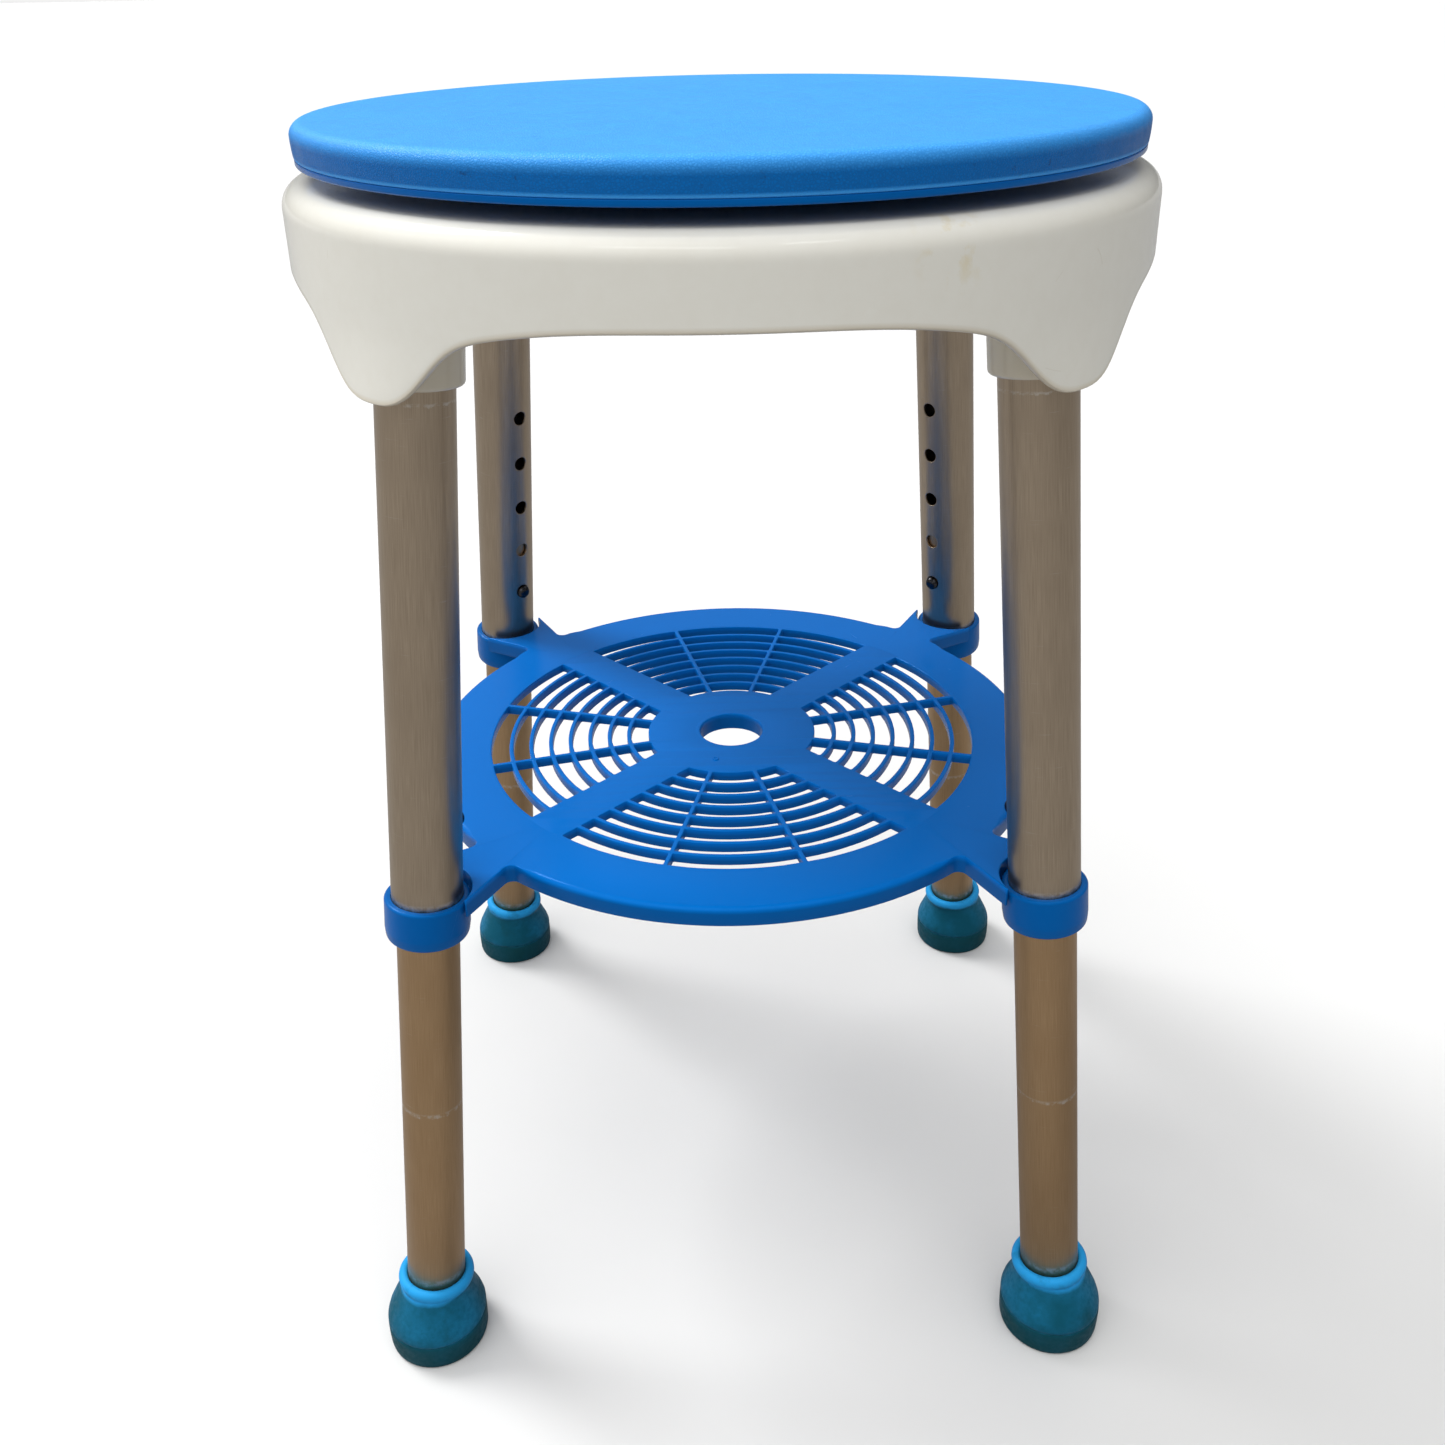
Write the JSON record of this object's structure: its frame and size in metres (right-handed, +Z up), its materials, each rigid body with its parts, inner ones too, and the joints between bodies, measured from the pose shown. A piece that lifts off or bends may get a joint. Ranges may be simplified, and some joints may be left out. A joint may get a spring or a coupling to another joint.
{
  "type": "shower stool",
  "caption": "Round swivel shower stool with a padded seat, a moulded base with a lobe over each leg, telescopic splayed legs with rubber feet and a lift-off grille shelf.",
  "frame": {"origin": "on the floor under the seat's centre", "axes": "+Z up along the swivel's axis, -Y towards the front, +X to the right"},
  "size_m": [0.342, 0.342, 0.518],
  "materials": {
    "seat_skin": "padded vinyl with a fine leather grain",
    "blue_plastic": "semi-gloss moulded",
    "white_plastic": "glossy off-white moulded",
    "leg_aluminium": "satin anodised",
    "bright_steel": "polished",
    "zinc_steel": "zinc plated",
    "spring_steel": "blued spring strip",
    "white_nylon": "plain moulded",
    "foot_rubber": "matt moulded"
  },
  "bodies": {
    "frame": {"seat_base": "white_plastic", "swivel_race_lower": "zinc_steel", "base_race_screws": "zinc_steel", "pivot_bolt": "zinc_steel", "pivot_washer": "zinc_steel", "pivot_nut": "zinc_steel", "leg_screws": "zinc_steel", "upper_leg_front_left": "leg_aluminium", "leg_collar_front_left": "blue_plastic", "upper_leg_front_right": "leg_aluminium", "leg_collar_front_right": "blue_plastic", "upper_leg_rear_left": "leg_aluminium", "leg_collar_rear_left": "blue_plastic", "upper_leg_rear_right": "leg_aluminium", "leg_collar_rear_right": "blue_plastic"},
    "seat": {"seat_pad": "seat_skin", "seat_board": "blue_plastic", "swivel_race_upper": "zinc_steel", "seat_race_screws": "zinc_steel"},
    "ball_ring": {"swivel_cage": "white_nylon", "swivel_balls": "bright_steel"},
    "shelf": {"shelf": "blue_plastic"},
    "lower_leg_front_left": {"lower_leg_front_left": "leg_aluminium", "button_spring_front_left": "spring_steel", "rubber_foot_front_left": "foot_rubber", "foot_washer_front_left": "zinc_steel"},
    "snap_button_front_left": {"snap_button_front_left": "bright_steel"},
    "lower_leg_front_right": {"lower_leg_front_right": "leg_aluminium", "button_spring_front_right": "spring_steel", "rubber_foot_front_right": "foot_rubber", "foot_washer_front_right": "zinc_steel"},
    "snap_button_front_right": {"snap_button_front_right": "bright_steel"},
    "lower_leg_rear_left": {"lower_leg_rear_left": "leg_aluminium", "button_spring_rear_left": "spring_steel", "rubber_foot_rear_left": "foot_rubber", "foot_washer_rear_left": "zinc_steel"},
    "snap_button_rear_left": {"snap_button_rear_left": "bright_steel"},
    "lower_leg_rear_right": {"lower_leg_rear_right": "leg_aluminium", "button_spring_rear_right": "spring_steel", "rubber_foot_rear_right": "foot_rubber", "foot_washer_rear_right": "zinc_steel"},
    "snap_button_rear_right": {"snap_button_rear_right": "bright_steel"}
  },
  "joints": [
    {"name": "seat_swivel", "type": "hinge", "parent": "frame", "child": "seat", "pos_m": [0, 0, 0.4926], "axis": [0, 0, 1], "continuous": true},
    {"name": "ball_ring_roll", "type": "hinge", "parent": "frame", "child": "ball_ring", "pos_m": [0, 0, 0.4926], "axis": [0, 0, 1], "continuous": true},
    {"name": "shelf_lift_off", "type": "slide", "parent": "frame", "child": "shelf", "axis": [0, 0, 1], "range_m": [0, 0.02]},
    {"name": "leg_slide_front_left", "type": "slide", "parent": "frame", "child": "lower_leg_front_left", "axis": [0.0743, 0.0743, 0.9945], "range_m": [0, 0.1], "deforming": ["snap_button_front_left"]},
    {"name": "button_press_front_left", "type": "slide", "parent": "lower_leg_front_left", "child": "snap_button_front_left", "axis": [-0.7032, -0.7032, 0.1051], "range_m": [0, 0.005], "stiffness_N_per_m": 300, "springref_m": -0.004, "deforming": ["button_spring_front_left"]},
    {"name": "leg_slide_front_right", "type": "slide", "parent": "frame", "child": "lower_leg_front_right", "axis": [-0.0743, 0.0743, 0.9945], "range_m": [0, 0.1], "deforming": ["snap_button_front_right"]},
    {"name": "button_press_front_right", "type": "slide", "parent": "lower_leg_front_right", "child": "snap_button_front_right", "axis": [0.7032, -0.7032, 0.1051], "range_m": [0, 0.005], "stiffness_N_per_m": 300, "springref_m": -0.004, "deforming": ["button_spring_front_right"]},
    {"name": "leg_slide_rear_left", "type": "slide", "parent": "frame", "child": "lower_leg_rear_left", "axis": [0.0743, -0.0743, 0.9945], "range_m": [0, 0.1], "deforming": ["snap_button_rear_left"]},
    {"name": "button_press_rear_left", "type": "slide", "parent": "lower_leg_rear_left", "child": "snap_button_rear_left", "axis": [-0.7032, 0.7032, 0.1051], "range_m": [0, 0.005], "stiffness_N_per_m": 300, "springref_m": -0.004, "deforming": ["button_spring_rear_left"]},
    {"name": "leg_slide_rear_right", "type": "slide", "parent": "frame", "child": "lower_leg_rear_right", "axis": [-0.0743, -0.0743, 0.9945], "range_m": [0, 0.1], "deforming": ["snap_button_rear_right"]},
    {"name": "button_press_rear_right", "type": "slide", "parent": "lower_leg_rear_right", "child": "snap_button_rear_right", "axis": [0.7032, 0.7032, 0.1051], "range_m": [0, 0.005], "stiffness_N_per_m": 300, "springref_m": -0.004, "deforming": ["button_spring_rear_right"]}
  ],
  "couplings": [
    {"joint": "ball_ring_roll", "follows": "seat_swivel", "ratio": 0.5}
  ]
}
